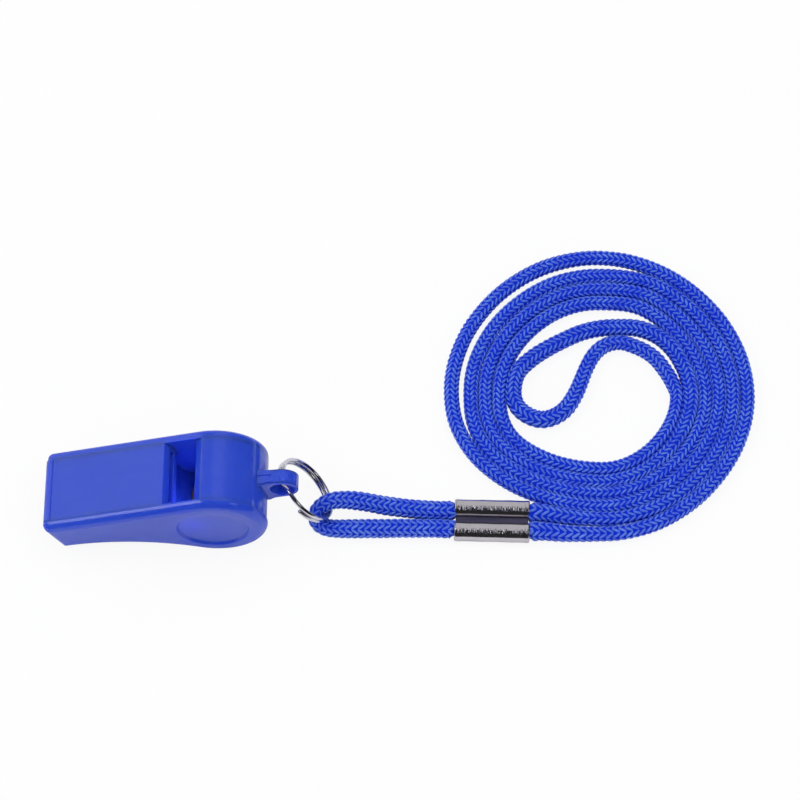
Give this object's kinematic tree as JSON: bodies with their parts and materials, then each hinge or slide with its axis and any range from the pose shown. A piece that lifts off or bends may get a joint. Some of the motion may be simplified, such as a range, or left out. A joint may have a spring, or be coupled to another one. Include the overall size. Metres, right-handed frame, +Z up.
{
  "type": "pea whistle with neck cord",
  "caption": "Blue plastic pea whistle linked by a steel split ring to a knitted neck cord, doubled through a metal crimp and coiled flat on the table.",
  "frame": {"origin": "on the table, under the middle of the whistle and its split ring", "axes": "+X from the mouthpiece towards the lug and the cord, +Y across the whistle away from the viewer, +Z up"},
  "size_m": [0.1551, 0.0742, 0.0228],
  "materials": {
    "whistle_plastic": "glossy moulded blue plastic",
    "cork": "bare cork",
    "ring_steel": "bright nickel plate",
    "crimp_metal": "dark nickel plate, scratched by the crimping tool",
    "knitted_cord": "knitted polyester cord"
  },
  "bodies": {
    "lanyard": {"cord_eye": "knitted_cord", "neck_cord": "knitted_cord", "crimp": "crimp_metal"},
    "ring": {"split_ring": "ring_steel"},
    "whistle": {"whistle_body": "whistle_plastic", "near_side_plate": "whistle_plastic", "far_side_plate": "whistle_plastic"},
    "pea": {"pea": "cork"}
  },
  "joints": [
    {"name": "ring_swing", "type": "hinge", "parent": "lanyard", "child": "ring", "pos_m": [0.03041, -0.0005, 0.00358], "axis": [0, 1, 0], "range_deg": [0, 60]},
    {"name": "whistle_swing", "type": "hinge", "parent": "ring", "child": "whistle", "pos_m": [0.02051, 0, 0.01538], "axis": [0, 1, 0], "range_deg": [0, 120]},
    {"name": "pea_orbit", "type": "hinge", "parent": "whistle", "child": "pea", "pos_m": [0.0061, 0, 0.0114], "axis": [0, 1, 0], "continuous": true}
  ]
}
